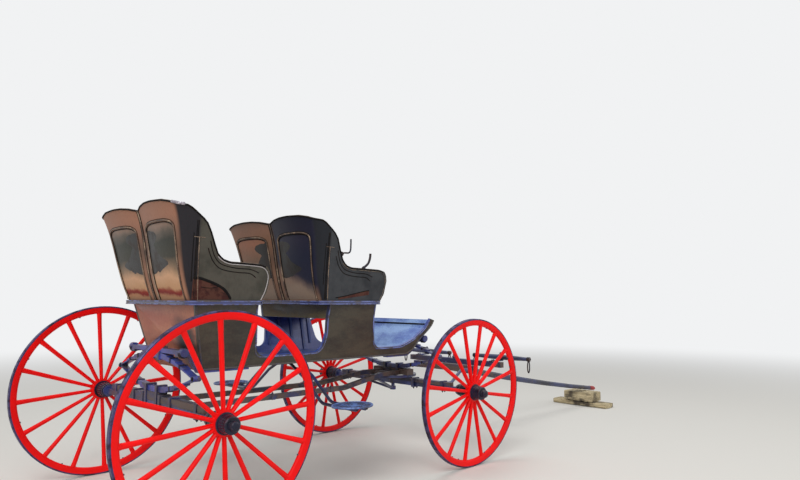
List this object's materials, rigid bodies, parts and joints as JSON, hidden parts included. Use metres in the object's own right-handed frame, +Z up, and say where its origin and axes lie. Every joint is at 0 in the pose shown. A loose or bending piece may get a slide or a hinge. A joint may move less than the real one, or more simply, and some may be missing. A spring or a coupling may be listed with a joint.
{
  "type": "open two-seat horse-drawn carriage with pole",
  "caption": "Open four-wheeled two-seat carriage in worn black with red spoked wheels, crosswise springs, side steps and a long draught pole resting on blocks.",
  "frame": {"origin": "on the floor, under the middle of the whole length from the rear wheels to the tip of the pole, on the centre plane", "axes": "+X forward along the pole, +Y to the carriage's left, +Z up"},
  "size_m": [5.0019, 1.6332, 1.491],
  "materials": {
    "black_lacquered_wood": "satin",
    "dark_gear_wood": "satin",
    "grey_timber": "matte",
    "red_painted_wood": "satin",
    "red_painted_tip": "satin",
    "black_iron": "satin",
    "black_hub_iron": "gloss",
    "worn_iron_tyre": "satin",
    "black_leather": "satin"
  },
  "bodies": {
    "carriage": {"block_lower": "grey_timber", "block_upper": "grey_timber", "dash": "black_lacquered_wood", "fifth_wheel_upper": "black_iron", "floor": "black_lacquered_wood", "front_seat_back_pad": "black_leather", "front_seat_cushion": "black_leather", "front_seat_frame": "black_lacquered_wood", "front_seat_shell": "black_lacquered_wood", "front_spring_bar": "dark_gear_wood", "front_spring_lower": "black_iron", "front_spring_upper": "black_iron", "head_block": "dark_gear_wood", "kingpin": "black_iron", "reach_left": "dark_gear_wood", "reach_right": "dark_gear_wood", "rear_axle": "black_iron", "rear_axle_bed": "dark_gear_wood", "rear_panel": "black_lacquered_wood", "rear_seat_back_pad": "black_leather", "rear_seat_cushion": "black_leather", "rear_seat_frame": "black_lacquered_wood", "rear_seat_riser": "black_lacquered_wood", "rear_seat_shell": "black_lacquered_wood", "rear_spring_bar": "dark_gear_wood", "rear_spring_lower": "black_iron", "rear_spring_upper": "black_iron", "side_panel_left": "black_lacquered_wood", "side_panel_right": "black_lacquered_wood", "step_left": "black_iron", "step_right": "black_iron"},
    "evener_bar": {"evener": "dark_gear_wood"},
    "front_axle_gear": {"fifth_wheel_lower": "black_iron", "front_axle": "black_iron", "front_axle_bed": "dark_gear_wood"},
    "front_left_wheel": {"front_hub_left": "black_hub_iron", "front_tyre_left": "worn_iron_tyre", "front_wheel_left": "red_painted_wood"},
    "front_right_wheel": {"front_hub_right": "black_hub_iron", "front_tyre_right": "worn_iron_tyre", "front_wheel_right": "red_painted_wood"},
    "pole_gear": {"pole": "dark_gear_wood", "pole_ferrule": "red_painted_tip", "pole_iron_left": "black_iron", "pole_iron_right": "black_iron"},
    "rear_left_wheel": {"rear_hub_left": "black_hub_iron", "rear_tyre_left": "worn_iron_tyre", "rear_wheel_left": "red_painted_wood"},
    "rear_right_wheel": {"rear_hub_right": "black_hub_iron", "rear_tyre_right": "worn_iron_tyre", "rear_wheel_right": "red_painted_wood"},
    "singletree_left_bar": {"singletree_left": "dark_gear_wood"},
    "singletree_right_bar": {"singletree_right": "dark_gear_wood"}
  },
  "joints": [
    {"name": "rear_left_wheel_spin", "type": "hinge", "parent": "carriage", "child": "rear_left_wheel", "pos_m": [-2.01601, 0.71, 0.48514], "axis": [0, 0.9999, -0.0122], "continuous": true},
    {"name": "rear_right_wheel_spin", "type": "hinge", "parent": "carriage", "child": "rear_right_wheel", "pos_m": [-2.01601, -0.71, 0.48514], "axis": [0, 0.9999, 0.0122], "continuous": true},
    {"name": "front_left_wheel_spin", "type": "hinge", "parent": "front_axle_gear", "child": "front_left_wheel", "pos_m": [-0.31101, 0.71, 0.45023], "axis": [0, 0.9996, -0.0297], "continuous": true},
    {"name": "front_right_wheel_spin", "type": "hinge", "parent": "front_axle_gear", "child": "front_right_wheel", "pos_m": [-0.31101, -0.71, 0.45023], "axis": [0, 0.9996, 0.0297], "continuous": true},
    {"name": "steering", "type": "hinge", "parent": "carriage", "child": "front_axle_gear", "pos_m": [-0.31101, 0, 0.498], "axis": [0, 0, 1], "range_deg": [-35, 35]},
    {"name": "pole_lift", "type": "hinge", "parent": "front_axle_gear", "child": "pole_gear", "pos_m": [-0.22601, 0, 0.455], "axis": [0, -1, 0], "range_deg": [0, 25]},
    {"name": "evener_swing", "type": "hinge", "parent": "pole_gear", "child": "evener_bar", "pos_m": [0.34399, 0, 0.5493], "axis": [0, 0, 1], "range_deg": [-8, 8]},
    {"name": "singletree_left_swing", "type": "hinge", "parent": "evener_bar", "child": "singletree_left_bar", "pos_m": [0.43899, 0.372, 0.5946], "axis": [0, 0, 1], "range_deg": [-12, 12]},
    {"name": "singletree_right_swing", "type": "hinge", "parent": "evener_bar", "child": "singletree_right_bar", "pos_m": [0.43899, -0.372, 0.5946], "axis": [0, 0, 1], "range_deg": [-12, 12]}
  ]
}
